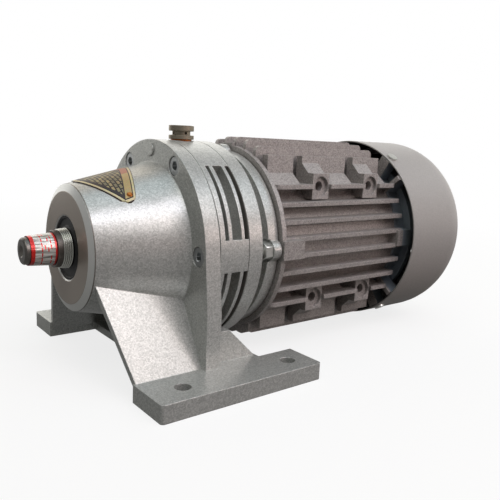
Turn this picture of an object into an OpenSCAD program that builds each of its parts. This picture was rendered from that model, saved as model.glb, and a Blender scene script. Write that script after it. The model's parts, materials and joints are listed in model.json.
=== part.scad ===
// Foot-mounted cycloidal reducer with its flanged, fan-cooled motor.
// Origin: centre of the four foot holes, on the mounting face.
// +Z is up, the output shaft points along -Y and the motor lies towards +Y.

/* [Foot and housing] */
// Height of the shaft axis above the mounting face
axis_h = 86.5; // [85:0.5:100]
// Distance from the foot hole centre forward to the nose face
nose_reach = 81; // [76:0.5:88]
// Length of the drum, from the nose face to the flange
drum_len = 63.5; // [61:0.5:72]
// Radius of the drum at the nose, over its chamfer
nose_r = 43.3; // [41:0.1:46]
// Radius of the drum where it meets the flange
drum_r = 57.1; // [56.5:0.1:58]
// Radius shared by the clamped flanges and the pin gear case
flange_r = 75; // [74:0.5:80]
// Thickness of the foot housing's flange
flange_t = 11.5; // [11:0.5:15]
// Half the width of the legs under the flange
leg_half_w = 79; // [77:0.5:84]
// Width of one foot bar
foot_w = 33.2; // [28:0.2:40]
// Length of the foot bars along the shaft
foot_len = 127.6; // [116:0.2:140]
// Thickness of the foot bars
foot_t = 12; // [10:0.5:16]
// Side to side spacing of the foot holes
foot_hole_dx = 184; // [180:1:188]
// Spacing of the foot holes along the shaft
foot_hole_dy = 86; // [80:1:94]
// Radius of a foot hole
foot_hole_r = 5.5; // [4.5:0.1:6.5]
// Corner radius of the foot bars
foot_corner_r = 2.5; // [2:0.5:8]
// Thickness of the front webs
web_t = 4.5; // [4:0.5:8]
// Height of the rear gussets above the mounting face
gusset_h = 34; // [26:0.5:44]

/* [Clamp screws] */
// Number of clamp screws round the flange
screw_count = 6; // [6:6:6]
// Pitch radius of the clamp screws
screw_pcr = 66.2; // [66:0.1:67.5]
// Thread radius of the clamp screws
screw_r = 4; // [3:0.1:4.2]
// Radius of the socket heads
screw_head_r = 6.5; // [5.5:0.1:6.8]
// Height of the socket heads
screw_head_h = 8; // [6:0.1:9]

/* [Output shaft] */
// Radius of the shaft end that takes the driven hub
shaft_r = 9; // [8:0.1:9.5]
// Distance that the shaft stands out of the nose face
shaft_reach = 29; // [26:0.5:40]
// Length of the shoulder in front of the nose face
shoulder_len = 9; // [6:0.5:11]
// Width of the keyway
keyway_w = 6; // [5:0.5:7]
// Length of the keyway
keyway_len = 14; // [12:0.5:15]
// Number of output pins
pin_count = 8; // [8:8:8]
// Pitch radius of the output pins
pin_pcr = 31; // [30.5:0.1:31.5]
// Radius of an output pin
pin_r = 3.5; // [3:0.1:3.8]
// Radius of the roller on an output pin
roller_r = 5; // [4.6:0.1:5.2]
// Radius of the carrier disc that holds the pins
carrier_r = 44; // [40:0.5:45]
// Thickness of the carrier disc
carrier_t = 12.5; // [11:0.5:13.5]

/* [Bearings and seals] */
// Bore radius of the front output bearing
fb_bore_r = 12.5; // [12:0.1:13]
// Outer radius of the front output bearing
fb_outer_r = 26; // [25.5:0.1:27]
// Width of the front output bearing
fb_w = 15; // [14:0.5:16]
// Bore radius of the rear output bearing
rb_bore_r = 15; // [14.5:0.1:15.5]
// Outer radius of the rear output bearing
rb_outer_r = 31; // [30:0.1:32]
// Width of the rear output bearing
rb_w = 16; // [15:0.5:17]
// Bore radius of the motor bearings
mb_bore_r = 10; // [9.5:0.1:10.5]
// Outer radius of the motor bearings
mb_outer_r = 23.5; // [22.5:0.1:24.5]
// Width of the motor bearings
mb_w = 14; // [13:0.5:15]
// Number of balls in each bearing
ball_count = 8; // [7:1:9]
// Outer radius of the output oil seal
seal_outer_r = 21.8; // [19:0.1:22]
// Width of the oil seals
seal_w = 7; // [6:0.5:7.5]
// Outer radius of the motor side oil seal
inseal_outer_r = 17.5; // [16:0.1:19]

/* [Cycloid stage] */
// Number of ring pins
ring_count = 12; // [12:12:12]
// Pitch radius of the ring pins
ring_pcr = 50; // [49.8:0.1:50.4]
// Radius of a ring pin
ring_pin_r = 4; // [3.4:0.1:4.3]
// Radius of the sleeve on a ring pin
sleeve_r = 5.5; // [5.3:0.1:5.7]
// Throw of the eccentric cam
throw = 2; // [1.4:0.1:2.2]
// Thickness of one cycloid disc
disc_t = 7; // [6:0.1:7.4]
// Gap between the two cycloid discs
disc_gap = 1; // [0.8:0.1:1.4]
// Radius of the cam's races
cam_race_r = 14; // [13.6:0.1:14.4]
// Radius of the cam's rollers
cam_roller_r = 3; // [2.6:0.1:3.2]
// Number of rollers in each cam row
cam_roller_count = 12; // [10:1:13]
// Length of the pin gear case
pincase_len = 23.5; // [23:0.1:26]
// Radius at the bottom of the case's cooling grooves
groove_r = 62; // [61:0.1:66]
// Half angle of the solid lands over the clamp screws
land_half_angle = 8.5; // [7:0.5:12]
// Thickness of the paper gaskets
gasket_t = 0.5; // [0.3:0.1:1]

/* [Motor] */
// Radius of the motor shaft in the cam
cam_bore_r = 7; // [6.5:0.1:7.5]
// Thickness of the motor flange's clamped disc
disc_plate_t = 11.5; // [11:0.5:14]
// Radius of the neck behind the clamped disc
neck_r = 57.5; // [57:0.5:58]
// Length of the neck
neck_len = 10; // [9.5:0.5:13]
// Radius of the end shield ring
ring_r = 69; // [68:0.5:71]
// Thickness of the end shield ring
ring_t = 9; // [8:0.5:11]
// Radius of the end rings of the motor frame
frame_ring_r = 73; // [72:0.5:76]
// Length of the motor frame
frame_len = 155; // [150:1:180]
// Outer radius of the motor frame's shell
shell_r = 60; // [59.5:0.5:60.5]
// Outer radius of the stator
stator_r = 55; // [54:0.5:55.5]
// Length of the stator stack
stack_len = 80; // [70:1:84]
// Bore radius of the stator
air_r = 33; // [32:0.5:35]
// Number of stator slots
slot_count = 24; // [24:12:24]
// Number of rotor bars
bar_count = 28; // [22:2:28]
// Spacing of the cooling fins
fin_pitch = 12.7; // [12.5:0.1:12.9]
// Thickness of a cooling fin
fin_t = 3.4; // [2.6:0.1:4]
// Radius reached by the top and bottom fins
fin_r = 80; // [78.5:0.5:80]
// Distance reached by the middle fins of the sides
side_reach = 68; // [66:0.5:69]
// Distance from the axis to the side pads' faces
pad_face = 57.2; // [56:0.2:58]
// Half the spacing of the tapped pads across the frame
pad_half_span = 44.45; // [43:0.05:45]
// Spacing of the tapped pads along the frame
pad_pitch = 58; // [52:0.2:60]
// Radius of the tapped holes in the pads
pad_hole_r = 3.85; // [3:0.05:4.5]
// Pitch radius of the end shield studs
stud_pcr = 66; // [66:0.1:66.5]
// Radius of the end shield studs
stud_r = 4; // [3:0.1:4.2]

/* [Fan and cover] */
// Outer radius of the fan cover
cover_r = 81.7; // [81.7:0.1:84]
// Wall thickness of the fan cover
cover_t = 1.2; // [0.8:0.1:1.5]
// Length of the fan cover
cover_len = 92.7; // [88:0.1:110]
// Length of frame that the fan cover laps over
cover_lap = 12.7; // [11:0.1:15]
// Radius of the rounded rear edge of the cover
cover_round_r = 38.7; // [30:0.1:42]
// Outer radius of the fan
fan_r = 70; // [60:0.5:74]
// Number of fan blades
blade_count = 8; // [6:1:10]

/* [Terminal box] */
// Length of the terminal box along the shaft
box_len = 70; // [64:1:78]
// Height of the terminal box
box_h = 74; // [70:1:80]
// Depth of the terminal box without its lid
box_depth = 34; // [30:0.5:44]
// Wall thickness of the terminal box
box_wall = 3; // [2.5:0.1:4]
// Thickness of the lid
lid_t = 4; // [3:0.5:6]

/* [Fittings] */
// Radius of the breather's knurled discs
breather_r = 9.3; // [8:0.1:10.5]
// Radius of the breather's thread
breather_thread_r = 5; // [4:0.1:5.5]
// Thickness of the nameplate
plate_t = 0.6; // [0.4:0.1:1]

/* [Clearances] */
// Gap between parts that turn against each other
run_gap = 0.1; // [0.06:0.01:0.12]
// Gap between a ball and its grooves
ball_gap = 0.06; // [0.04:0.01:0.1]
// Gap between a fastener and its thread
thread_gap = 0.05; // [0.02:0.01:0.1]
// Radial gap round a fastener's shank
shank_gap = 0.5; // [0.3:0.1:0.6]

/* [Hidden] */
$fn = 96;

eps = 0.01;
through = 400;
hex_ratio = 2 / sqrt(3);

// Stations along the shaft axis, front to back
nose_y = -nose_reach;
flange_y = nose_y + drum_len;
housing_end = flange_y + flange_t;
pincase_y = housing_end + gasket_t;
pincase_end = pincase_y + pincase_len;
mflange_y = pincase_end + gasket_t;
neck_y = mflange_y + disc_plate_t;
ring_y = neck_y + neck_len;
frame_y = ring_y + ring_t;
frame_end = frame_y + frame_len;
cover_y = frame_end - cover_lap;
cover_end = cover_y + cover_len;

// Foot bars
foot_y0 = -foot_len / 2 - 3.2;
foot_x0 = foot_hole_dx / 2 - foot_w / 2;
foot_mid_x = foot_hole_dx / 2;
gusset_inset = 4.5;
web_lean = 31.4;
web_inset = 2.9;
web_root_in = 2.7;
web_foot_z = foot_t - 7;
web_top_z = axis_h - 11.5;
web_rise = (web_top_z - web_foot_z) / cos(web_lean);
gusset_t = 8;

// Front end of the output shaft
nose_chamfer = 2.3;
nose_face_r = nose_r - 5.2;
seal_inset = 1;
seal_y = nose_y + seal_inset;
circlip_t = 1.2;
circlip_h = 2.6;
circlip_depth = 0.8;
circlip_y = seal_y + seal_w + 0.6;
fb_y = circlip_y + circlip_t;
tip_y = nose_y - shaft_reach;
step_y = nose_y - shoulder_len;
tip_chamfer = 1;
keyway_depth = 3.5;
keyway_y = step_y - 3 - keyway_len;

// Cycloid stage
side_gap = 0.25;
cavity_len = 2 * disc_t + disc_gap + 2 * side_gap;
cavity_y = pincase_y + (pincase_len - cavity_len) / 2;
cavity_end = cavity_y + cavity_len;
disc_front_y = cavity_y + side_gap;
disc_rear_y = disc_front_y + disc_t + disc_gap;
cavity_r = ring_pcr + sleeve_r + 0.5;
wall_bore_r = ring_pcr - ring_pin_r + 1.5;
spigot_len = 2.5;
spigot_r = wall_bore_r + 3.5;
rear_spigot_len = 1.6;
ring_pin_y = pincase_y + 1.5;
ring_pin_end = pincase_end - rear_spigot_len - 0.2;
mesh_gap = run_gap;
lobes = ring_count - 1;
disc_points = 24;
disc_bore_r = cam_race_r + 2 * cam_roller_r + run_gap;
window_r = roller_r + throw + run_gap;

// Carrier and rear output bearing
carrier_gap = 1;
carrier_end = cavity_y - carrier_gap;
carrier_y = carrier_end - carrier_t;
journal_len = 4;
rb_y = carrier_y - journal_len - rb_w;
housing_cavity_r = carrier_r + 4;
housing_cavity_y = carrier_y - 2;
pocket_r = 14;
pocket_depth = 9;
pin_end_gap = 0.4;

// Cam and motor shaft
cam_y = cavity_y;
cam_len = cavity_len;
cam_end = cam_y + cam_len;
cam_clip_y = cam_y - circlip_t;
shaft_end_y = cam_clip_y - 1.8;
inseal_y = mflange_y + 2;
seal_run_r = 10;
mfb_y = ring_y + ring_t - mb_w - 4;
rotor_mid = frame_y + frame_len / 2;
core_y = rotor_mid - stack_len / 2;
core_bore_r = 13;
rotor_r = air_r - 0.3;
mrb_y = frame_end - 12;
mrb_end = mrb_y + mb_w;
washer_space = 2;
register_r = shell_r - 2;
register_len = 5;
plate_web = 5;
shield_y = frame_end;
fan_hub_y = shield_y + plate_web + 6;
fan_hub_len = 24;
fan_bore_r = 7;
fan_clip_y = fan_hub_y + fan_hub_len;

// Pads and tapped lands of the motor frame
pad_w = 17.6;
pad_h = 20;
pad_depth = 14;
pad_recess = 2.5;
pad_bore_r = pad_hole_r + 3.85;
pad_at = 51.3;
wall_x = 43.5;
wall_t = 6;
fin_round = 4.5;
rear_ring_t = 12;
land_w = 14;
land_len = 21;
stud_in_frame = 15;
lug_r = 7.7;
lug_inset = 2;
nut_h = 6.5;
nut_af = 13;
stud_proud = 2.5;
cover_screw_angle = 56.2;
cover_screw_angles = [cover_screw_angle, 180 - cover_screw_angle, 180 + cover_screw_angle,
    -cover_screw_angle];
cover_rib_angle = 40;
cover_gap = 0.3;
cover_screw_r = 2.5;

// Terminal box, on the side away from +X
box_x = 66;
box_y = frame_y + 31;
box_mid_y = box_y + box_len / 2;
box_out = box_x + box_depth;
lid_out = box_out + 1 + lid_t;
gland_r = 9;

// ---- Places -------------------------------------------------------------

// A child drawn along +Z lies along +Y on the shaft axis, from station y
module along(y) {
    translate([0, y, axis_h]) rotate([90, 0, 180]) children();
}

// A child on +X stands at angle a, measured from +X towards +Z, in along()
module at_angle(a) {
    rotate([0, 0, 180 - a]) children();
}

module tube(r_out, r_in, len) {
    difference() {
        cylinder(r = r_out, h = len);
        translate([0, 0, -eps]) cylinder(r = r_in, h = len + 2 * eps);
    }
}

module box_at(x0, x1, y0, y1, z0, z1) {
    translate([x0, y0, z0]) cube([x1 - x0, y1 - y0, z1 - z0]);
}

module round_rect(w, l, r) {
    square([w - 2 * r, l], center = true);
    square([w, l - 2 * r], center = true);
    for (sx = [-1, 1], sy = [-1, 1])
        translate([sx * (w / 2 - r), sy * (l / 2 - r)]) circle(r = r);
}

module hex_bar(af, h) {
    cylinder(r = af / 2 * hex_ratio, h = h, $fn = 6);
}

// ---- Bearings -----------------------------------------------------------

function pitch_r(ri, ro) = (ri + ro) / 2;
function ball_r(ri, ro) = (ro - ri) * 0.29;

module race_groove(ri, ro, w) {
    rotate_extrude() translate([pitch_r(ri, ro), w / 2])
        circle(r = ball_r(ri, ro) + ball_gap);
}

module bearing_outer(ri, ro, w) {
    difference() {
        tube(ro, pitch_r(ri, ro) + ball_r(ri, ro) * 0.55, w);
        race_groove(ri, ro, w);
    }
}

module bearing_inner(ri, ro, w) {
    difference() {
        tube(pitch_r(ri, ro) - ball_r(ri, ro) * 0.55, ri, w);
        race_groove(ri, ro, w);
    }
}

// Balls, and the cage ring that spaces them
module bearing_cage(ri, ro, w, count) {
    br = ball_r(ri, ro);
    pr = pitch_r(ri, ro);
    difference() {
        translate([0, 0, w / 2 - br - 1]) tube(pr + br * 0.35, pr - br * 0.35, 2 * br + 2);
        for (i = [0:count - 1]) rotate(i * 360 / count) translate([pr - br, 0, w / 2])
            rotate([0, 90, 0]) cylinder(r = br + run_gap, h = 2 * br);
    }
    for (i = [0:count - 1])
        rotate(i * 360 / count) translate([pr, 0, w / 2]) sphere(r = br);
}

module circlip(r_shaft, t) {
    difference() {
        tube(r_shaft + circlip_h - circlip_depth, r_shaft - circlip_depth, t);
        translate([-1.5, 0, -eps]) cube([3, r_shaft + circlip_h, t + 2 * eps]);
    }
}

// ---- Output end ---------------------------------------------------------

module drum_solid() {
    along(nose_y) rotate_extrude() polygon([
        [0, 0], [nose_face_r, 0], [nose_r, nose_chamfer],
        [drum_r, drum_len - 4], [drum_r + 2, drum_len], [drum_r + 2, drum_len + eps],
        [0, drum_len + eps]]);
}

// Outline of the flange and its legs, seen along the axis
module leg_outline() {
    leg_top = -axis_h * 0.42;
    reach = sqrt(leg_half_w * leg_half_w + leg_top * leg_top);
    tangent = acos(flange_r / reach) + atan2(leg_top, leg_half_w);
    tx = flange_r * cos(tangent);
    tz = flange_r * sin(tangent);
    circle(r = flange_r);
    polygon([[-leg_half_w, foot_t / 2 - axis_h], [leg_half_w, foot_t / 2 - axis_h],
        [leg_half_w, leg_top], [tx, tz], [-tx, tz], [-leg_half_w, leg_top]]);
}

// Flat plate that leans from one foot up to the drum's flank, s is its side
module front_web(s) {
    translate([s * (foot_x0 + web_inset), 0, web_foot_z]) rotate([0, -s * web_lean, 0])
        rotate([90, 0, 90]) translate([0, 0, -(s + 1) * web_t / 2]) linear_extrude(web_t)
            polygon([[foot_y0 + 2.6, 0], [flange_y + 1, 0], [flange_y + 1, web_rise],
                [nose_y + 2.8, web_rise]]);
}

module rear_gusset(s) {
    translate([s * (foot_x0 - gusset_t / 2 - gusset_inset), 0, 0])
        rotate([90, 0, 90]) translate([0, 0, -gusset_t / 2]) linear_extrude(gusset_t)
            polygon([[housing_end - 1, foot_t / 2], [housing_end - 1, gusset_h],
                [housing_end + 13, gusset_h], [housing_end + 36.5, foot_t - 1],
                [housing_end + 36.5, foot_t / 2]]);
}

// Bar with rounded outer corners, and the roots that the web and the gusset stand on
module foot_bar(s) {
    root = foot_x0 - gusset_t - gusset_inset;
    translate([s * foot_mid_x, foot_y0 + foot_len / 2, 0]) linear_extrude(foot_t) {
        round_rect(foot_w, foot_len, foot_corner_r);
        translate([-s * foot_w / 4, 0]) square([foot_w / 2, foot_len], center = true);
    }
    box_at(min(s * root, s * (foot_x0 + 1)), max(s * root, s * (foot_x0 + 1)),
        flange_y - 1, housing_end + 36.5, 0, foot_t);
    front = foot_x0 - web_root_in;
    box_at(min(s * front, s * (foot_x0 + 1)), max(s * front, s * (foot_x0 + 1)),
        foot_y0, flange_y + 3, 0, foot_t);
}

module output_housing() {
    color("silver") difference() {
        union() {
            drum_solid();
            along(flange_y) linear_extrude(flange_t) leg_outline();
            for (s = [-1, 1]) {
                foot_bar(s);
                front_web(s);
                rear_gusset(s);
            }
            box_at(-foot_x0, foot_x0, flange_y - 12.5, flange_y + eps, 1, 7);
            along(flange_y) at_angle(90) translate([flange_r - 7.5, 0, -0.8])
                cylinder(r = 4.6, h = 1);
        }
        // stepped bore: seal, front bearing, rear bearing, carrier
        along(nose_y - eps) cylinder(r = seal_outer_r, h = fb_y - nose_y + 2 * eps);
        along(nose_y - eps) cylinder(r1 = seal_outer_r + 0.8, r2 = seal_outer_r, h = 0.8);
        along(fb_y) cylinder(r = fb_outer_r, h = rb_y - fb_y + eps);
        along(rb_y) cylinder(r = rb_outer_r, h = housing_cavity_y - rb_y + eps);
        along(housing_cavity_y) cylinder(r = housing_cavity_r,
            h = housing_end - housing_cavity_y + eps);
        along(housing_end - spigot_len - 0.3) cylinder(r = spigot_r + thread_gap,
            h = spigot_len + 1);
        // clamp screw holes with their counterbores
        for (i = [0:screw_count - 1]) along(flange_y) at_angle(i * 360 / screw_count)
            translate([screw_pcr, 0, 0]) {
                translate([0, 0, -3]) cylinder(r = screw_head_r + shank_gap / 2,
                    h = 3 + screw_seat);
                translate([0, 0, -1]) cylinder(r = screw_r + shank_gap, h = flange_t + 2);
            }
        // foot holes
        for (sx = [-1, 1], sy = [-1, 1])
            translate([sx * foot_hole_dx / 2, sy * foot_hole_dy / 2, -1])
                cylinder(r = foot_hole_r, h = foot_t + 2);
        rivet_places() translate([0, 0, -rivet_len]) cylinder(r = rivet_r + thread_gap,
            h = rivet_len + 5, $fn = 24);
        box_at(-through, through, -through, through, -through, 0);
    }
}

screw_seat = screw_head_h + 0.5;
screw_grip = flange_t - screw_seat + gasket_t + pincase_len + gasket_t;
screw_engage = disc_plate_t - 2.5;

module flange_screws() {
    color("dimgray") for (i = [0:screw_count - 1])
        along(flange_y + screw_seat) at_angle(i * 360 / screw_count)
            translate([screw_pcr, 0, 0]) difference() {
                union() {
                    cylinder(r = screw_r, h = screw_grip + screw_engage);
                    translate([0, 0, -screw_head_h]) cylinder(r = screw_head_r,
                        h = screw_head_h);
                }
                translate([0, 0, -screw_head_h - eps])
                    hex_bar(screw_r * 1.5, screw_head_h / 2);
            }
}

module oil_seal() {
    color("#26282a") along(seal_y) rotate_extrude() polygon([
        [seal_outer_r, 0], [seal_outer_r, seal_w], [seal_outer_r - 1.6, seal_w],
        [seal_outer_r - 1.6, 1.8], [fb_bore_r + 2.6, 1.8], [fb_bore_r + 2.6, 5.2],
        [fb_bore_r + run_gap, 4.4], [fb_bore_r + run_gap, 3.8], [fb_bore_r + 1.2, 2],
        [fb_bore_r + 0.5, 0.2], [fb_bore_r + 1.6, 0.4], [fb_bore_r + 3, 0.9],
        [seal_outer_r - 2, 0.9], [seal_outer_r - 1.4, 0]]);
}

module front_bearing_outer() {
    color("lightsteelblue") along(fb_y) bearing_outer(fb_bore_r, fb_outer_r, fb_w);
}

module front_bearing_inner() {
    color("lightsteelblue") along(fb_y) bearing_inner(fb_bore_r, fb_outer_r, fb_w);
}

module front_bearing_cage() {
    color("goldenrod") along(fb_y) bearing_cage(fb_bore_r, fb_outer_r, fb_w, ball_count);
}

module rear_bearing_outer() {
    color("lightsteelblue") along(rb_y) bearing_outer(rb_bore_r, rb_outer_r, rb_w);
}

module rear_bearing_inner() {
    color("lightsteelblue") along(rb_y) bearing_inner(rb_bore_r, rb_outer_r, rb_w);
}

module rear_bearing_cage() {
    color("goldenrod") along(rb_y) bearing_cage(rb_bore_r, rb_outer_r, rb_w, ball_count);
}

module output_shaft() {
    color("gray") difference() {
        along(0) rotate_extrude() polygon([
            [0, tip_y], [shaft_r - tip_chamfer, tip_y], [shaft_r, tip_y + tip_chamfer],
            [shaft_r, step_y], [fb_bore_r, step_y], [fb_bore_r, fb_y + fb_w],
            [rb_bore_r, fb_y + fb_w], [rb_bore_r, rb_y + rb_w],
            [rb_bore_r + 3, rb_y + rb_w], [rb_bore_r + 3, carrier_y],
            [carrier_r - 1, carrier_y], [carrier_r, carrier_y + 1],
            [carrier_r, carrier_end], [0, carrier_end]]);
        // centre hole, circlip groove, pocket for the motor shaft's end
        along(tip_y - eps) cylinder(r = 2.2, h = 7);
        along(tip_y - eps) cylinder(r1 = 4, r2 = 2.2, h = 2);
        along(circlip_y) tube(fb_bore_r + 1, fb_bore_r - circlip_depth, circlip_t);
        along(carrier_end - pocket_depth) cylinder(r = pocket_r, h = pocket_depth + eps);
        // keyway
        translate([-shaft_r + keyway_depth, keyway_y, axis_h]) rotate([0, -90, 0])
            linear_extrude(keyway_depth + 1) translate([0, keyway_len / 2])
                round_rect(keyway_w, keyway_len, keyway_w / 2 - eps);
        for (i = [0:pin_count - 1]) along(carrier_y - 1) at_angle(i * 360 / pin_count)
            translate([pin_pcr, 0, 0]) cylinder(r = pin_r, h = carrier_t + 2);
    }
}

module shaft_circlip() {
    color("dimgray") along(circlip_y) circlip(fb_bore_r, circlip_t);
}

module output_pins() {
    color("gainsboro") for (i = [0:pin_count - 1])
        along(carrier_y + pin_end_gap) at_angle(i * 360 / pin_count)
            translate([pin_pcr, 0, 0]) cylinder(r = pin_r,
                h = cavity_end - pin_end_gap - carrier_y - pin_end_gap);
}

module output_rollers() {
    color("lightgray") for (i = [0:pin_count - 1])
        along(cavity_y) at_angle(i * 360 / pin_count)
            translate([pin_pcr, 0, 0]) tube(roller_r, pin_r + thread_gap,
                cavity_len - pin_end_gap);
}

// ---- Cycloid stage ------------------------------------------------------

// Shortened epitrochoid offset inward by the sleeve radius, at parameter t
function cyc_psi(t) = atan2(sin((1 - ring_count) * t),
    ring_pcr / (throw * ring_count) - cos((1 - ring_count) * t));
function cyc_point(t, rr) = [
    ring_pcr * cos(t) - rr * cos(t + cyc_psi(t)) - throw * cos(ring_count * t),
    ring_pcr * sin(t) - rr * sin(t + cyc_psi(t)) - throw * sin(ring_count * t)];

module cycloid_outline() {
    steps = lobes * disc_points;
    polygon([for (i = [0:steps - 1])
        cyc_point(i * 360 / steps, sleeve_r + mesh_gap)]);
}

// One disc, up is 1 when its valley meets the top ring pin and -1 when the bottom one
module cycloid_disc(y, up) {
    along(y) translate([0, up * throw, 0]) difference() {
        rotate(up * 90) linear_extrude(disc_t) cycloid_outline();
        translate([0, 0, -1]) cylinder(r = disc_bore_r, h = disc_t + 2);
        for (i = [0:pin_count - 1]) at_angle(i * 360 / pin_count)
            translate([pin_pcr, 0, -1]) cylinder(r = window_r, h = disc_t + 2);
    }
}

module cycloid_disc_front() {
    color("silver") cycloid_disc(disc_front_y, 1);
}

module cycloid_disc_rear() {
    color("silver") cycloid_disc(disc_rear_y, -1);
}

module disc_spacer() {
    color("goldenrod") along(disc_front_y + disc_t + run_gap)
        tube(ring_pcr - sleeve_r - 1, pin_pcr + roller_r + run_gap, disc_gap - 2 * run_gap);
}

module eccentric_cam() {
    color("gray") difference() {
        union() {
            along(disc_front_y) translate([0, throw, 0]) cylinder(r = cam_race_r, h = disc_t);
            along(disc_rear_y) translate([0, -throw, 0]) cylinder(r = cam_race_r, h = disc_t);
            along(disc_front_y + disc_t - eps) cylinder(r = cam_race_r + throw / 2,
                h = disc_gap + 2 * eps);
            along(cam_y) cylinder(r = cam_race_r - throw - 1, h = cam_len);
        }
        along(cam_y - 1) cylinder(r = cam_bore_r, h = cam_len + 2);
        cam_key_box(0.02);
    }
}

// Key between motor shaft and cam
key_w = 5;
module cam_key_box(gap) {
    box_at(-key_w / 2 - gap, key_w / 2 + gap, cam_y - 1, cam_end + 1,
        axis_h + cam_bore_r - 3, axis_h + cam_bore_r + 2 + gap);
}

module cam_key() {
    color("dimgray") box_at(-key_w / 2, key_w / 2, cam_y + 0.5, cam_end - 0.5,
        axis_h + cam_bore_r - 3, axis_h + cam_bore_r + 2);
}

module cam_circlip() {
    color("dimgray") along(cam_clip_y) circlip(cam_bore_r, circlip_t);
}

// Rollers round one cam lobe and the cage that spaces them
module cam_roller_row(y, up) {
    pr = cam_race_r + cam_roller_r + run_gap / 2;
    along(y + run_gap) translate([0, up * throw, 0]) {
        difference() {
            tube(pr + cam_roller_r * 0.5, pr - cam_roller_r * 0.5, disc_t - 2 * run_gap);
            for (i = [0:cam_roller_count - 1]) rotate(i * 360 / cam_roller_count)
                translate([pr, 0, 0.8]) cylinder(r = cam_roller_r + run_gap,
                    h = disc_t - 2 * run_gap - 1.6);
        }
        for (i = [0:cam_roller_count - 1]) rotate(i * 360 / cam_roller_count)
            translate([pr, 0, 0.9]) cylinder(r = cam_roller_r - run_gap / 2,
                h = disc_t - 2 * run_gap - 1.8);
    }
}

module cam_rollers_front() {
    color("gainsboro") cam_roller_row(disc_front_y, 1);
}

module cam_rollers_rear() {
    color("gainsboro") cam_roller_row(disc_rear_y, -1);
}

// Sector cut by the case's cooling grooves, from angle a0 to a1
module sector(r, a0, a1, h) {
    steps = 8;
    linear_extrude(h) polygon(concat([[0, 0]], [for (i = [0:steps])
        let (a = 180 - (a0 + (a1 - a0) * i / steps)) [2 * r * cos(a), 2 * r * sin(a)]]));
}

module groove(y0, y1) {
    half = land_half_angle;
    along(y0) intersection() {
        tube(flange_r + 1, groove_r, y1 - y0);
        union() for (a = [0, 120, 180, 240, 300])
            translate([0, 0, -1]) sector(flange_r, a + half, a + 60 - half, y1 - y0 + 2);
    }
}

module pin_gear_case() {
    color("silver") difference() {
        union() {
            along(pincase_y) cylinder(r = flange_r, h = pincase_len);
            along(pincase_y - spigot_len) cylinder(r = spigot_r, h = spigot_len + eps);
        }
        along(pincase_y - spigot_len - 1) cylinder(r = wall_bore_r,
            h = pincase_len + spigot_len + 2);
        along(cavity_y) cylinder(r = cavity_r, h = cavity_len);
        for (i = [0:ring_count - 1]) along(ring_pin_y) at_angle(i * 360 / ring_count)
            translate([ring_pcr, 0, 0]) cylinder(r = ring_pin_r, h = pincase_len);
        for (i = [0:screw_count - 1]) along(pincase_y - 1) at_angle(i * 360 / screw_count)
            translate([screw_pcr, 0, 0]) cylinder(r = screw_r + shank_gap,
                h = pincase_len + 2);
        groove(pincase_y + 4.1, pincase_y + 6.9);
        groove(pincase_y + 9.9, pincase_y + 17.5);
        groove(pincase_y + 20.1, pincase_end + 1);
        // breather hole and its spot face
        translate([0, breather_y, axis_h + cavity_r - 2])
            cylinder(r = breather_thread_r + thread_gap, h = flange_r);
        translate([0, breather_y, spot_z]) cylinder(r = breather_r + 0.4, h = 10);
    }
}

module ring_pins() {
    color("gainsboro") for (i = [0:ring_count - 1])
        along(ring_pin_y) at_angle(i * 360 / ring_count) translate([ring_pcr, 0, 0])
            cylinder(r = ring_pin_r, h = ring_pin_end - ring_pin_y);
}

module ring_pin_sleeves() {
    color("lightgray") for (i = [0:ring_count - 1])
        along(cavity_y + run_gap) at_angle(i * 360 / ring_count)
            translate([ring_pcr, 0, 0]) tube(sleeve_r, ring_pin_r + thread_gap,
                cavity_len - 2 * run_gap);
}

module gasket(y, r_in) {
    along(y) difference() {
        tube(flange_r - 0.5, r_in, gasket_t);
        for (i = [0:screw_count - 1]) at_angle(i * 360 / screw_count)
            translate([screw_pcr, 0, -1]) cylinder(r = screw_r + shank_gap, h = gasket_t + 2);
    }
}

module front_gasket() {
    color("burlywood") gasket(housing_end, spigot_r + 1);
}

module rear_gasket() {
    color("burlywood") gasket(pincase_end, ring_pcr + ring_pin_r + 1);
}

// ---- Breather and nameplate ---------------------------------------------

breather_y = pincase_y + 13.5;
spot_z = axis_h + flange_r - 0.8;
washer_t = 1.5;
module breather_plug() {
    z0 = spot_z + washer_t;
    color("#8a7550") translate([0, breather_y, 0]) difference() {
        union() {
            translate([0, 0, z0 - 11]) cylinder(r = breather_thread_r, h = 11 + eps);
            translate([0, 0, z0]) cylinder(r = breather_r, h = 3);
            translate([0, 0, z0 + 3 - eps]) cylinder(r = breather_r * 0.72, h = 3 + 2 * eps);
            translate([0, 0, z0 + 6]) cylinder(r = breather_r, h = 4);
        }
        translate([0, 0, z0 - 12]) cylinder(r = 1.5, h = 16);
        for (a = [0, 90]) rotate(a) translate([0, 0, z0 + 4.5]) rotate([90, 0, 0])
            translate([0, 0, -breather_r]) cylinder(r = 0.8, h = 2 * breather_r);
    }
}

module breather_washer() {
    color("#b07a4c") translate([0, breather_y, spot_z])
        tube(breather_r - 1.5, breather_thread_r + thread_gap, washer_t);
}

// Shield-shaped plate wrapped over the top of the tapered drum
plate_tip_y = nose_y + 5.7;
plate_rear_y = nose_y + 46.2;
corner_x = 32.4;
corner_y = nose_y + 30.2;
corner_r = 4.8;
rivet_x = 32.6;
rivet_y = nose_y + 31;
rivet_r = 1.2;
rivet_len = 4;
cone_slope = (drum_r - nose_r) / (drum_len - 4 - nose_chamfer);
function cone_r(y) = nose_r + (y - nose_y - nose_chamfer) * cone_slope;

// Right half: the front edge curves back, a round corner, then straight to the rear point
plate_half = concat(
    [for (i = [0:6]) let (x = 5.7 * i) [x, plate_tip_y + 0.2 * x + 0.0095 * x * x]],
    [for (i = [0:5]) let (a = -50 + 24.4 * i) [corner_x + corner_r * cos(a),
        corner_y + corner_r * sin(a)]],
    [[0, plate_rear_y]]);

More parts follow.
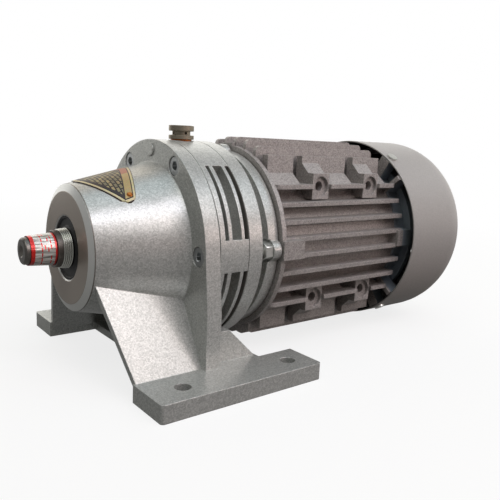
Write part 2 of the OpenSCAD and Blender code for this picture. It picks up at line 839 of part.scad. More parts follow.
module plate_outline() {
    polygon(concat(plate_half,
        [for (i = [len(plate_half) - 2:-1:1]) [-plate_half[i][0], plate_half[i][1]]]));
}

module cone_shell(lift, t) {
    along(nose_y + nose_chamfer) difference() {
        cylinder(r1 = nose_r + lift + t, r2 = drum_r + lift + t,
            h = drum_len - 4 - nose_chamfer);
        translate([0, 0, -eps]) cylinder(r1 = nose_r + lift, r2 = drum_r + lift,
            h = drum_len - 4 - nose_chamfer + 2 * eps);
    }
}

module rivet_places() {
    tilt = atan(cone_slope);
    for (s = [-1, 1]) along(rivet_y) at_angle(90 - s * asin(rivet_x / cone_r(rivet_y)))
        translate([cone_r(rivet_y), 0, 0]) rotate([0, 90 + tilt, 0]) children();
}

module nameplate() {
    color("#6b5a36") difference() {
        intersection() {
            cone_shell(thread_gap, plate_t);
            translate([0, 0, axis_h]) linear_extrude(drum_r * 2) plate_outline();
        }
        rivet_places() translate([0, 0, -1]) cylinder(r = rivet_r + thread_gap, h = 4,
            $fn = 24);
    }
}

module nameplate_rivets() {
    color("gold") rivet_places() {
        translate([0, 0, -rivet_len + 0.3]) cylinder(r = rivet_r, h = rivet_len, $fn = 24);
        translate([0, 0, plate_t + 0.1]) cylinder(r1 = rivet_r * 1.7, r2 = rivet_r,
            h = 0.8, $fn = 24);
        translate([0, 0, 0]) cylinder(r = rivet_r, h = plate_t + 0.2, $fn = 24);
    }
}

// ---- Motor --------------------------------------------------------------

module lug_places(y, r) {
    for (a = [0, 90, 180, 270]) along(y) at_angle(a) translate([r, 0, 0]) children();
}

module motor_flange() {
    color("silver") difference() {
        union() {
            along(0) rotate_extrude() polygon([
                [0, pincase_end - rear_spigot_len], [wall_bore_r - thread_gap,
                    pincase_end - rear_spigot_len],
                [wall_bore_r - thread_gap, mflange_y], [flange_r, mflange_y],
                [flange_r, neck_y], [neck_r, neck_y], [neck_r, ring_y],
                [ring_r, ring_y], [ring_r, frame_y], [register_r - thread_gap, frame_y],
                [register_r - thread_gap, frame_y + register_len - 1],
                [0, frame_y + register_len - 1]]);
            lug_places(ring_y + lug_inset, stud_pcr) cylinder(r = lug_r,
                h = ring_t - lug_inset);
        }
        along(mflange_y - spigot_len - 1) cylinder(r = seal_run_r + 2, h = 40);
        along(inseal_y) cylinder(r = inseal_outer_r, h = seal_w + 0.5);
        along(mfb_y) cylinder(r = mb_outer_r, h = 40);
        along(mfb_y + mb_w) cylinder(r = register_r - 7, h = 40);
        for (i = [0:screw_count - 1]) along(mflange_y - 1) at_angle(i * 360 / screw_count)
            translate([screw_pcr, 0, 0]) cylinder(r = screw_r + thread_gap,
                h = screw_engage + 2);
        lug_places(ring_y - 1, stud_pcr) cylinder(r = stud_r + shank_gap, h = ring_t + 2);
        lug_places(ring_y - 5, stud_pcr) cylinder(r = lug_r + 0.7, h = 5 + lug_inset);
    }
}

module input_seal() {
    color("#26282a") along(inseal_y) difference() {
        tube(inseal_outer_r, seal_run_r + run_gap, seal_w);
        translate([0, 0, 2]) tube(inseal_outer_r - 1.8, seal_run_r + 2, seal_w);
    }
}

module motor_front_bearing_outer() {
    color("lightsteelblue") along(mfb_y) bearing_outer(mb_bore_r, mb_outer_r, mb_w);
}

module motor_front_bearing_inner() {
    color("lightsteelblue") along(mfb_y) bearing_inner(mb_bore_r, mb_outer_r, mb_w);
}

module motor_front_bearing_cage() {
    color("goldenrod") along(mfb_y) bearing_cage(mb_bore_r, mb_outer_r, mb_w, ball_count);
}

module motor_rear_bearing_outer() {
    color("lightsteelblue") along(mrb_y) bearing_outer(mb_bore_r, mb_outer_r, mb_w);
}

module motor_rear_bearing_inner() {
    color("lightsteelblue") along(mrb_y) bearing_inner(mb_bore_r, mb_outer_r, mb_w);
}

module motor_rear_bearing_cage() {
    color("goldenrod") along(mrb_y) bearing_cage(mb_bore_r, mb_outer_r, mb_w, ball_count);
}

module preload_washer() {
    color("dimgray") along(mrb_end) rotate_extrude() polygon([
        [mb_outer_r - 0.3, 0], [mb_outer_r - 0.3, 0.6],
        [mb_outer_r - 4.5, washer_space], [mb_outer_r - 4.5, washer_space - 0.6]]);
}

module motor_shaft() {
    color("gray") difference() {
        along(0) rotate_extrude() polygon([
            [0, shaft_end_y], [cam_bore_r - 0.6, shaft_end_y],
            [cam_bore_r, shaft_end_y + 0.6], [cam_bore_r, cam_end],
            [cam_bore_r + 1.5, cam_end], [cam_bore_r + 1.5, inseal_y - 1],
            [mb_bore_r, inseal_y - 1], [mb_bore_r, mfb_y + mb_w],
            [core_bore_r, mfb_y + mb_w], [core_bore_r, mrb_y], [mb_bore_r, mrb_y],
            [mb_bore_r, mrb_end + 2], [fan_bore_r + 1.5, mrb_end + 2],
            [fan_bore_r + 1.5, fan_hub_y], [fan_bore_r, fan_hub_y],
            [fan_bore_r, fan_clip_y + circlip_t + 2], [0, fan_clip_y + circlip_t + 2]]);
        cam_key_box(0);
        along(cam_clip_y) tube(cam_bore_r + 1, cam_bore_r - circlip_depth, circlip_t);
        along(fan_clip_y) tube(fan_bore_r + 1, fan_bore_r - circlip_depth, circlip_t);
    }
}

bar_r = 2.2;
module rotor_core() {
    color("slategray") along(core_y) difference() {
        tube(rotor_r, core_bore_r, stack_len);
        for (i = [0:bar_count - 1]) rotate(i * 360 / bar_count)
            translate([rotor_r - bar_r - 1, 0, -1]) cylinder(r = bar_r, h = stack_len + 2,
                $fn = 24);
    }
}

// Cast bars and the two end rings that join them
module rotor_cage() {
    color("gainsboro") along(core_y) {
        for (i = [0:bar_count - 1]) rotate(i * 360 / bar_count)
            translate([rotor_r - bar_r - 1, 0, -1]) cylinder(r = bar_r, h = stack_len + 2,
                $fn = 24);
        for (z = [-8, stack_len]) translate([0, 0, z]) tube(rotor_r - 0.5, rotor_r - 9, 8);
    }
}

slot_depth = 13;
slot_w = 4.4;
module slot_shape(gap) {
    w = slot_w - 2 * gap;
    translate([air_r + 1.8 + gap, -w / 2]) square([slot_depth - 2 * gap, w]);
}

module stator_core() {
    color("slategray") along(core_y) difference() {
        tube(stator_r, air_r, stack_len);
        for (i = [0:slot_count - 1]) rotate(i * 360 / slot_count)
            translate([0, 0, -1]) linear_extrude(stack_len + 2) {
                slot_shape(0);
                translate([air_r - 1, -0.9]) square([4, 1.8]);
            }
    }
}

// Coil sides through the slots and the wound overhang at both ends
overhang = 18;
module stator_windings() {
    color("#9a5a2c") along(core_y) {
        for (i = [0:slot_count - 1]) rotate(i * 360 / slot_count)
            translate([0, 0, -3]) linear_extrude(stack_len + 6) slot_shape(0.15);
        for (z = [-overhang, stack_len + 2]) translate([0, 0, z])
            tube(air_r + slot_depth + 2.5, air_r + 1.5, overhang - 2);
    }
}

// One straight fin with rounded outer corners, standing on the shell along +X
module fin(reach, off, z0, z1) {
    foot = sqrt(shell_r * shell_r - off * off) - 3;
    translate([0, off + fin_t / 2, 0]) rotate([90, 0, 0]) linear_extrude(fin_t) {
        translate([foot, z0]) square([reach - fin_round - foot, z1 - z0]);
        translate([foot, z0 + fin_round]) square([reach - foot, z1 - z0 - 2 * fin_round]);
        for (z = [z0 + fin_round, z1 - fin_round])
            translate([reach - fin_round, z]) circle(r = fin_round);
    }
}

function side_tip(k) = side_reach - 0.9 * k * k;
function side_end(k) = frame_len - 7 - 2.5 * k;
function top_tip(k) = sqrt(fin_r * fin_r - pow((k + 0.5) * fin_pitch, 2));

// Tapped pad on a frame side whose outward direction is +X
module pad_block(h) {
    translate([pad_face - pad_depth, h - pad_h / 2, pad_at - pad_w / 2])
        cube([pad_depth, pad_h, pad_w]);
}

// Bracket that carries a pad from the thick outer fin, side is 1 above and -1 below
module pad_bracket(side) {
    ledge_x = 51.3;
    neck = 61.7;
    top = sqrt(fin_r * fin_r - wall_x * wall_x);
    translate([0, 0, pad_at - pad_w / 2]) linear_extrude(pad_w) polygon([
        [wall_x - wall_t, side * pad_half_span], [ledge_x, side * pad_half_span],
        [ledge_x, side * (pad_half_span + pad_h / 2)], [wall_x, side * neck],
        [wall_x, side * top], [wall_x - wall_t, side * top]]);
}

module pad_hole(h) {
    translate([pad_face + 0.5, h, pad_at]) rotate([0, -90, 0])
        cylinder(r = pad_hole_r, h = pad_depth - 1);
    translate([pad_face + 1, h, pad_at]) rotate([0, -90, 0])
        cylinder(r = pad_bore_r, h = 1 + pad_recess);
}

// Thick outer fin of the top and bottom, in three blocks, with sloping facets below
wall_front = 7.6;
wall_end = 133.5;
wall_gaps = [[33.4, pad_at - pad_w / 2], [91.3, pad_at + pad_pitch - pad_w / 2]];
module outer_wall(side) {
    root = 40;
    facet_x = 52.6;
    facet_low = 46.2;
    facet_high = 53.9;
    top = sqrt(fin_r * fin_r - wall_x * wall_x);
    spans = [[wall_front, wall_gaps[0][0]], [wall_gaps[0][1], wall_gaps[1][0]],
        [wall_gaps[1][1], wall_end]];
    for (i = [0:2]) {
        lead = i == 0 ? 0 : pad_w - 1;
        translate([0, side * (wall_x - wall_t / 2) + wall_t / 2, spans[i][0]])
            rotate([90, 0, 0]) linear_extrude(wall_t) square_from(root, top,
                spans[i][1] - spans[i][0]);
        translate([0, 0, spans[i][0] + lead]) linear_extrude(spans[i][1] - spans[i][0]
            - lead) polygon([[root - 4, side * root], [facet_low - 2, side * facet_x],
                [facet_low, side * facet_x], [facet_high, side * wall_x],
                [facet_high, side * (wall_x - 3)]]);
    }
}

module square_from(x0, x1, len) {
    translate([x0, 0]) square([x1 - x0, len]);
}

// Ribs of the frame that the fan cover sits on and is screwed to
module cover_ribs() {
    for (a = cover_screw_angles) along(frame_end - 13) at_angle(a)
        translate([shell_r - 2, -5, 0])
            cube([cover_r - cover_t - cover_gap - shell_r + 2, 10, 11.5]);
    for (sx = [0, 180], sa = [-1, 1]) along(frame_end - 15) at_angle(sx + sa * cover_rib_angle)
        translate([shell_r - 2, -2, 0])
            cube([cover_r - cover_t - cover_gap - shell_r + 2, 4, 14]);
}

module frame_body() {
    difference() {
        union() {
            along(frame_y) cylinder(r = shell_r, h = frame_len);
            cover_ribs();
            along(frame_y + 1) cylinder(r = frame_ring_r, h = 4);
            along(frame_y) cylinder(r = register_r + 7, h = 2);
            along(frame_end - rear_ring_t) cylinder(r = shell_r + 1.5, h = rear_ring_t);
            for (k = [0:3], sz = [-1, 1], a = [0, 180])
                along(frame_y) rotate(a) fin(side_tip(k), sz * (k + 0.5) * fin_pitch,
                    4, side_end(k));
            for (k = [0:2], sz = [-1, 1], a = [90, 270])
                along(frame_y) rotate(a) fin(top_tip(k), sz * (k + 0.5) * fin_pitch,
                    4, frame_len - 20);
            for (a = [90, 270], side = [-1, 1]) along(frame_y) rotate(a)
                outer_wall(side);
            // lands for the studs in front and the screws behind
            lug_places(frame_y, 0) translate([shell_r - 5, -land_w / 2, 1])
                cube([flange_r - shell_r + 5, land_w, land_len - 1]);
            lug_places(frame_end - 19, 0) translate([shell_r - 5, -land_w / 2, 0])
                cube([15, land_w, 18]);
            for (sz = [-1, 1], p = [0, pad_pitch]) along(frame_y + p) at_angle(0) {
                pad_block(sz * pad_half_span);
                pad_bracket(sz);
            }
            // seat for the terminal box
            box_at(-box_x, -shell_r + 12, box_y + 1, box_y + box_len - 1,
                axis_h - box_h / 2 + 1, axis_h + box_h / 2 - 1);
        }
        // room in front of the pads' faces and the terminal box
        for (sz = [-1, 1], p = [0, pad_pitch]) along(frame_y + p) at_angle(0)
            translate([pad_face, sz * pad_half_span - pad_h / 2, pad_at - pad_w / 2])
                cube([20, pad_h - 3, pad_w]);
        box_at(-box_x - 20, -box_x, box_y - 0.5, box_y + box_len + 0.5,
            axis_h - box_h / 2 - 0.5, axis_h + box_h / 2 + 0.5);
    }
}

module motor_frame() {
    color("silver") difference() {
        frame_body();
        along(frame_y - 1) cylinder(r = stator_r, h = frame_len + 2);
        along(frame_y - 1) cylinder(r = register_r, h = register_len + 1);
        along(frame_end - register_len) cylinder(r = register_r, h = register_len + 1);
        for (sz = [-1, 1], p = [0, pad_pitch])
            along(frame_y + p) at_angle(0) pad_hole(sz * pad_half_span);
        lug_places(frame_y - 1, stud_pcr) cylinder(r = stud_r + thread_gap,
            h = stud_in_frame + 2);
        lug_places(frame_end - 16, rear_screw_pcr) cylinder(r = rear_screw_r + thread_gap,
            h = 17);
        cover_screw_places() translate([0, 0, -12]) cylinder(r = cover_screw_r
            + thread_gap, h = 20, $fn = 32);
        // wire hole to the terminal box
        translate([-box_x - 1, box_mid_y, axis_h]) rotate([0, 90, 0])
            cylinder(r = 9, h = box_x - stator_r + 6);
    }
}

module shield_studs() {
    color("gainsboro") lug_places(ring_y + lug_inset - nut_h - stud_proud, stud_pcr)
        cylinder(r = stud_r, h = stud_proud + nut_h + ring_t - lug_inset + stud_in_frame);
}

module shield_nuts() {
    color("gainsboro") lug_places(ring_y + lug_inset - nut_h, stud_pcr) difference() {
        rotate(30) hex_bar(nut_af, nut_h);
        translate([0, 0, -1]) cylinder(r = stud_r + thread_gap, h = nut_h + 2);
    }
}

rear_screw_pcr = 63.5;
rear_screw_r = 2.5;
module rear_end_shield() {
    color("silver") difference() {
        union() {
            along(shield_y) cylinder(r = frame_ring_r - 5, h = plate_web);
            along(shield_y - register_len + 1) tube(register_r - thread_gap,
                register_r - 6, register_len);
            along(mrb_y - 1) cylinder(r = mb_outer_r + 5, h = mrb_end + washer_space
                + 3 - mrb_y + 1);
            for (i = [0:7]) along(shield_y - register_len + 1) rotate(i * 45)
                translate([mb_outer_r + 2, -1.5, 0]) cube([register_r - 5 - mb_outer_r
                    - 2, 3, register_len]);
        }
        along(mrb_y - 2) cylinder(r = mb_outer_r, h = mb_w + washer_space + 2);
        along(mrb_end) cylinder(r = mb_bore_r + 1, h = 30);
        lug_places(shield_y - 1, rear_screw_pcr) cylinder(r = rear_screw_r + shank_gap / 2,
            h = plate_web + 2);
    }
}

module rear_shield_screws() {
    color("gainsboro") lug_places(shield_y + plate_web, rear_screw_pcr) {
        translate([0, 0, -plate_web - 14]) cylinder(r = rear_screw_r, h = plate_web + 14);
        hex_bar(8, 3.5);
    }
}

// ---- Fan and cover ------------------------------------------------------

module cooling_fan() {
    disc_y = fan_hub_y + 3;
    color("#3a3d3f") difference() {
        union() {
            along(fan_hub_y) cylinder(r = 14, h = fan_hub_len);
            along(disc_y) cylinder(r = fan_r * 0.62, h = 2.5);
            for (i = [0:blade_count - 1]) along(disc_y) rotate(i * 360 / blade_count)
                translate([13, -1.1, 0]) cube([fan_r - 13, 2.2, 22]);
        }
        along(fan_hub_y - 1) cylinder(r = fan_bore_r, h = fan_hub_len + 2);
    }
}

module fan_circlip() {
    color("dimgray") along(fan_clip_y) circlip(fan_bore_r, circlip_t);
}

module cover_screw_places() {
    for (a = cover_screw_angles)
        along(cover_y + 7) at_angle(a) translate([cover_r, 0, 0]) rotate([0, 90, 0])
            children();
}

// Half section of a cup with a rounded bottom edge, grown outward by g
module cup_section(g) {
    r = cover_r - cover_t + g;
    cr = cover_round_r - cover_t + g;
    end = cover_len - cover_t + g;
    steps = 12;
    polygon(concat([[0, 0], [r, 0]], [for (i = [0:steps]) let (a = i * 90 / steps)
        [r - cr + cr * cos(a), end - cr + cr * sin(a)]], [[0, end]]));
}

module fan_cover() {
    color("silver") difference() {
        along(cover_y) rotate_extrude() cup_section(cover_t);
        along(cover_y - eps) rotate_extrude() cup_section(0);
        cover_screw_places() translate([0, 0, -4]) cylinder(r = cover_screw_r + 0.2, h = 8,
            $fn = 32);
        // air inlet holes in rings
        for (ring = [1:3]) for (i = [0:ring * 6 - 1]) along(cover_end - 10)
            rotate(i * 360 / (ring * 6)) translate([ring * 11, 0, 0])
                cylinder(r = 3.4, h = 20, $fn = 24);
        along(cover_end - 10) cylinder(r = 3.4, h = 20, $fn = 24);
    }
}

module fan_cover_screws() {
    color("gainsboro") cover_screw_places() {
        translate([0, 0, -9]) cylinder(r = cover_screw_r, h = 9.2, $fn = 32);
        translate([0, 0, 0.1]) cylinder(r = cover_screw_r * 1.8, h = 1.6, $fn = 32);
    }
}

// ---- Terminal box -------------------------------------------------------

module box_corners(inset) {
    for (sy = [-1, 1], sz = [-1, 1])
        translate([0, box_mid_y + sy * (box_len / 2 - inset),
            axis_h + sz * (box_h / 2 - inset)]) children();
}

module terminal_box() {
    color("silver") difference() {
        union() {
            difference() {
                box_at(-box_out, -box_x, box_y, box_y + box_len,
                    axis_h - box_h / 2, axis_h + box_h / 2);
                box_at(-box_out - 1, -box_x - box_wall, box_y + box_wall,
                    box_y + box_len - box_wall, axis_h - box_h / 2 + box_wall,
                    axis_h + box_h / 2 - box_wall);
            }
            box_corners(5) translate([-box_out, 0, 0]) rotate([0, 90, 0])
                cylinder(r = 4.4, h = box_depth);
            translate([-box_x - box_depth / 2, box_mid_y, axis_h - box_h / 2 - 2])
                cylinder(r = 14, h = 2 + box_wall);
        }
        box_corners(5) translate([-box_out - 1, 0, 0]) rotate([0, 90, 0])
            cylinder(r = 2, h = 14, $fn = 24);
        translate([-box_x - box_wall - 1, box_mid_y, axis_h]) rotate([0, 90, 0])
            cylinder(r = 9, h = box_wall + 2);
        translate([-box_x - box_depth / 2, box_mid_y, axis_h - box_h / 2 - 5])
            cylinder(r = gland_r, h = 12);
    }
}

module lid_gasket() {
    color("#26282a") difference() {
        box_at(-box_out - 1, -box_out, box_y, box_y + box_len,
            axis_h - box_h / 2, axis_h + box_h / 2);
        box_at(-box_out - 2, -box_out + 1, box_y + 9, box_y + box_len - 9,
            axis_h - box_h / 2 + 9, axis_h + box_h / 2 - 9);
        box_corners(5) translate([-box_out - 2, 0, 0]) rotate([0, 90, 0])
            cylinder(r = 2.3, h = 4, $fn = 24);
    }
}

module terminal_lid() {
    color("silver") difference() {
        translate([-box_out - 1, box_mid_y, axis_h]) rotate([0, -90, 0])
            linear_extrude(lid_t) round_rect(box_h, box_len, 4);
        box_corners(5) translate([-lid_out - 1, 0, 0]) rotate([0, 90, 0])
            cylinder(r = 2.3, h = lid_t + 4, $fn = 24);
    }
}

module lid_screws() {
    color("gainsboro") box_corners(5) {
        translate([-lid_out, 0, 0]) rotate([0, 90, 0]) cylinder(r = 2 - thread_gap,
            h = lid_t + 10, $fn = 24);
        translate([-lid_out - 2.4, 0, 0]) rotate([0, 90, 0]) cylinder(r = 3.5, h = 2.4,
            $fn = 24);
    }
}

block_h = 12;
module terminal_block() {
    x0 = box_x + box_wall;
    color("#2b2b30") difference() {
        box_at(-x0 - block_h, -x0, box_mid_y - 22, box_mid_y + 22, axis_h + 11,
            axis_h + 31);
        for (i = [-1:1], j = [0, 1]) translate([-x0 - block_h - 1, box_mid_y + i * 14,
                axis_h + 16 + j * 10]) rotate([0, 90, 0])
            cylinder(r = 1.8, h = 9, $fn = 24);
    }
}

module terminal_studs() {
    x0 = box_x + box_wall;
    color("goldenrod") for (i = [-1:1], j = [0, 1])
        translate([-x0 - block_h - 7, box_mid_y + i * 14, axis_h + 16 + j * 10])
            rotate([0, 90, 0]) {
                cylinder(r = 1.8, h = 14.8, $fn = 24);
                translate([0, 0, 4]) hex_bar(6, 3);
            }
}

module cable_gland() {
    z0 = axis_h - box_h / 2 - 2;
    color("#3a3d3f") translate([-box_x - box_depth / 2, box_mid_y, 0]) difference() {
        union() {
            translate([0, 0, z0]) cylinder(r = gland_r - thread_gap, h = 9);
            translate([0, 0, z0 - 6]) hex_bar(24, 6);
            translate([0, 0, z0 - 18]) cylinder(r = gland_r + 1.5, h = 12 + eps);
        }
        translate([0, 0, z0 - 20]) cylinder(r = 5, h = 40);
    }
}

output_housing();
oil_seal();
front_bearing_outer();
front_bearing_inner();
front_bearing_cage();
rear_bearing_outer();
rear_bearing_inner();
rear_bearing_cage();
output_shaft();
shaft_circlip();
output_pins();
output_rollers();
cycloid_disc_front();
cycloid_disc_rear();
disc_spacer();
eccentric_cam();
cam_key();
cam_circlip();
cam_rollers_front();
cam_rollers_rear();
pin_gear_case();
ring_pins();
ring_pin_sleeves();
front_gasket();
rear_gasket();
flange_screws();
breather_plug();
breather_washer();
nameplate();
nameplate_rivets();
motor_flange();
input_seal();
motor_front_bearing_outer();
motor_front_bearing_inner();
motor_front_bearing_cage();
motor_rear_bearing_outer();
motor_rear_bearing_inner();
motor_rear_bearing_cage();
preload_washer();
motor_shaft();
rotor_core();
rotor_cage();
stator_core();
stator_windings();
motor_frame();
shield_studs();
shield_nuts();
rear_end_shield();
rear_shield_screws();
cooling_fan();
fan_circlip();
fan_cover();
fan_cover_screws();
terminal_box();
terminal_lid();
lid_gasket();
lid_screws();
terminal_block();
terminal_studs();
cable_gland();
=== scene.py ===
import json
import math

import bmesh
import bpy
import numpy as np
from mathutils import Matrix, Vector


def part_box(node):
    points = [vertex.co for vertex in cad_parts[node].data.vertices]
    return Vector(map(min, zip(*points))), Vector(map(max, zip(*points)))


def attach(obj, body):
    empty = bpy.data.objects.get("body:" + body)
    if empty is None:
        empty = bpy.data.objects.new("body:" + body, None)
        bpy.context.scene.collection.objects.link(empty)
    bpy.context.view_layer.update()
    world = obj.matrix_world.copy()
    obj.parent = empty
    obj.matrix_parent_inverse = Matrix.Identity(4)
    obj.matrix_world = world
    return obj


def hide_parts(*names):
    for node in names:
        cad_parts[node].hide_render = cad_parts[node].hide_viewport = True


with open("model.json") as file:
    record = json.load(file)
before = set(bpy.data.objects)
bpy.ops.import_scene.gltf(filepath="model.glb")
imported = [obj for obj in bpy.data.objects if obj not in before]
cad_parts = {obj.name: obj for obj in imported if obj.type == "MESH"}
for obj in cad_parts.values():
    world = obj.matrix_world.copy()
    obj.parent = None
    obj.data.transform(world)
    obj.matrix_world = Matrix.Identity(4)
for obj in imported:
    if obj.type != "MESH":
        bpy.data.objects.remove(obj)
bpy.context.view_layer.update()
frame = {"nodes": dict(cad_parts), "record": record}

mm = 0.001

# Places taken from the frame, in metres
mounts = {mount["name"]: mount for mount in frame["record"]["mounts"]}
axisHeight = mounts["output_shaft"]["pos_m"][2]
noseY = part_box("output_housing")[0].y
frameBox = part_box("motor_frame")
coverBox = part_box("fan_cover")
print("stage: frame loaded, axis at", round(axisHeight, 4))


# sRGB hex to linear: below 0.04045 divide by 12.92, above it the 2.4 power
def linear(code):
    parts = [int(code[i:i + 2], 16) / 255 for i in (1, 3, 5)]
    return tuple(part / 12.92 if part <= 0.04045 else ((part + 0.055) / 1.055) ** 2.4
                 for part in parts) + (1.0,)


# Adds one node: settings fill its properties or sockets, links feed its sockets
def addNode(tree, kind, links=None, **settings):
    node = tree.nodes.new("ShaderNode" + kind)
    for key, value in settings.items():
        if key.startswith("in_"):
            node.inputs[key[3:].replace("_", " ")].default_value = value
        else:
            setattr(node, key, value)
    for name, source in (links or {}).items():
        tree.links.new(source, node.inputs[name])
    return node


# The output of one arithmetic node: each term is a number or another node's output
def calc(tree, operation, *terms):
    node = addNode(tree, "Math", operation=operation)
    for socket, term in zip(node.inputs, terms):
        if isinstance(term, (int, float)):
            socket.default_value = term
        else:
            tree.links.new(term, socket)
    return node.outputs[0]


# 1 where the value lies from low to high, otherwise 0
def between(tree, value, low, high):
    return calc(tree, "COMPARE", value, (low + high) / 2, (high - low) / 2)


# Colours laid one over another: each layer is a mask and a hex colour
def layered(tree, base, layers):
    for mask, code in layers:
        base = addNode(tree, "MixRGB", {"Fac": mask, "Color1": base},
                       in_Color2=linear(code)).outputs["Color"]
    return base


# The place along the shaft, and the radius from its axis: the root of x squared plus the
# square of the height over the axis
def shaftPlaces(tree, coords):
    part = addNode(tree, "SeparateXYZ", {"Vector": coords})
    height = calc(tree, "SUBTRACT", part.outputs["Z"], axisHeight)
    radius = calc(tree, "SQRT", calc(
        tree, "ADD", calc(tree, "POWER", part.outputs["X"], 2.0),
        calc(tree, "POWER", height, 2.0)))
    return part.outputs["Y"], radius


# An empty node material with its output, and the object coordinates
def newMaterial(name):
    material = bpy.data.materials.new(name)
    material.use_nodes = True
    tree = material.node_tree
    tree.nodes.clear()
    output = addNode(tree, "OutputMaterial")
    coords = addNode(tree, "TexCoord").outputs["Object"]
    return material, tree, output, coords


# Each painted finish: its colour and that of its darkest flakes, size of a flake in mm,
# share of cloud in the speckle, roughness, metallic, strength of the relief, and the radius
# in mm that the paint gives to an edge
paint = {
    "castEnamel": dict(colour="#CACBC8", dark="#A2A4A1", flake=0.8, cloud=0.05, rough=0.34,
                       metal=0.50, bump=0.30, edge=0.9),
    "frameEnamel": dict(colour="#B6B0AD", dark="#868280", flake=0.8, cloud=0.06, rough=0.45,
                        metal=0.25, bump=0.25, edge=0.5),
    "coverEnamel": dict(colour="#A9A6A3", dark="#9B9895", flake=0.6, cloud=0.10, rough=0.50,
                        metal=0.05, bump=0.05, edge=0.4),
}

# What all three share: sizes of the cloud, of the orange peel and of the tool's grooves on
# bare metal, depth of the relief, the speckle levels of the darkest and palest flakes, and
# the samples that round an edge
spray = dict(cloudSize=11 * mm, peelSize=1.4 * mm, grooveSize=0.5 * mm, depth=0.2 * mm,
             darkest=0.1, palest=0.9, edgeSamples=6)

# Bare places on the painted parts, a painted highlight on the nose chamfer and painted
# shade inside the fan cover: places along the shaft and radii in metres
# The chamfer's colour is a painted highlight on bare turned metal
nose = dict(face=noseY + 0.1 * mm, chamfer=noseY + 2.3 * mm, land=noseY + 3.1 * mm,
            faceColour="#A79D94", chamferHighlight="#D9DAD8", landColour="#77746F")
rearRing = dict(front=frameBox[1].y - 12.5 * mm, inner=60 * mm, colour="#8E979F")
# The inside of the fan cover: near-black painted shade
coverInsideShade = dict(rear=coverBox[1].y - 36 * mm, colour="#141414",
                   outer=(coverBox[1].x - coverBox[0].x) / 2 - 1.2 * mm)


# The turned nose face, its chamfer of bare turned metal with a painted highlight in its
# colour, and the dark edge behind them
def bareNose(tree, along, radius, colour):
    face = calc(tree, "LESS_THAN", along, nose["face"])
    chamfer = between(tree, along, nose["face"], nose["chamfer"])
    land = between(tree, along, nose["chamfer"], nose["land"])
    shown = layered(tree, colour, [(face, nose["faceColour"]),
                                   (chamfer, nose["chamferHighlight"]),
                                   (land, nose["landColour"])])
    return shown, calc(tree, "MAXIMUM", face, chamfer)


# The turned ring behind the fins of the motor frame
def bareRearRing(tree, along, radius, colour):
    bareOrShaded = calc(tree, "MULTIPLY", calc(tree, "GREATER_THAN", along, rearRing["front"]),
                calc(tree, "GREATER_THAN", radius, rearRing["inner"]))
    return layered(tree, colour, [(bareOrShaded, rearRing["colour"])]), bareOrShaded


# Painted shade: the inside of the fan cover coloured near black, where shade falls
def paintedShadeInCover(tree, along, radius, colour):
    inside = calc(tree, "MULTIPLY", calc(tree, "LESS_THAN", along, coverInsideShade["rear"]),
                  calc(tree, "LESS_THAN", radius, coverInsideShade["outer"]))
    return layered(tree, colour, [(inside, coverInsideShade["colour"])]), inside


# Bare metal on the nose and the rear ring, and painted shade inside the fan cover
bareAndShadedPlaces = {"castEnamel": bareNose, "frameEnamel": bareRearRing,
              "coverEnamel": paintedShadeInCover}


# Silver enamel sprayed on a casting: aluminium flakes in a grey binder, so it looks part
# metal, sparkles from flake to flake and keeps the orange peel of the spray. The flakes
# are drawn far coarser than real ones, so that they show.
def enamel(name):
    look = paint[name]
    material, tree, output, coords = newMaterial(name)
    flakes = addNode(tree, "TexVoronoi", {"Vector": coords},
                     in_Scale=1 / (look["flake"] * mm))
    cloud = addNode(tree, "TexNoise", {"Vector": coords}, in_Scale=1 / spray["cloudSize"],
                    in_Detail=3.0)
    tone = addNode(tree, "MixRGB", {"Color1": flakes.outputs["Color"],
                                    "Color2": cloud.outputs["Fac"]}, in_Fac=look["cloud"])
    level = addNode(tree, "RGBToBW", {"Color": tone.outputs["Color"]})
    spread = addNode(tree, "MapRange", {"Value": level.outputs["Val"]},
                     in_From_Min=spray["darkest"], in_From_Max=spray["palest"])
    colour = addNode(tree, "MixRGB", {"Fac": spread.outputs["Result"]},
                     in_Color1=linear(look["dark"]), in_Color2=linear(look["colour"]))
    along, radius = shaftPlaces(tree, coords)
    # The mask is bare metal on the housing and the frame, and the painted shade inside the
    # fan cover
    shown, bareOrShaded = bareAndShadedPlaces[name](tree, along, radius, colour.outputs["Color"])
    grooves = addNode(tree, "TexNoise", {"W": radius}, noise_dimensions="1D",
                      in_Scale=1 / spray["grooveSize"], in_Detail=1.0)
    peel = addNode(tree, "TexNoise", {"Vector": coords}, in_Scale=1 / spray["peelSize"],
                   in_Detail=2.0)
    relief = addNode(tree, "MixRGB", {"Fac": bareOrShaded, "Color1": peel.outputs["Fac"],
                                      "Color2": grooves.outputs["Fac"]})
    edge = addNode(tree, "Bevel", samples=spray["edgeSamples"],
                   in_Radius=look["edge"] * mm)
    bump = addNode(tree, "Bump", {"Height": relief.outputs["Color"],
                                  "Normal": edge.outputs["Normal"]},
                   in_Strength=look["bump"], in_Distance=spray["depth"])
    shader = addNode(tree, "BsdfPrincipled", {"Base Color": shown,
                                              "Normal": bump.outputs["Normal"]},
                     in_Metallic=look["metal"], in_Roughness=look["rough"])
    tree.links.new(shader.outputs[0], output.inputs["Surface"])
    return material


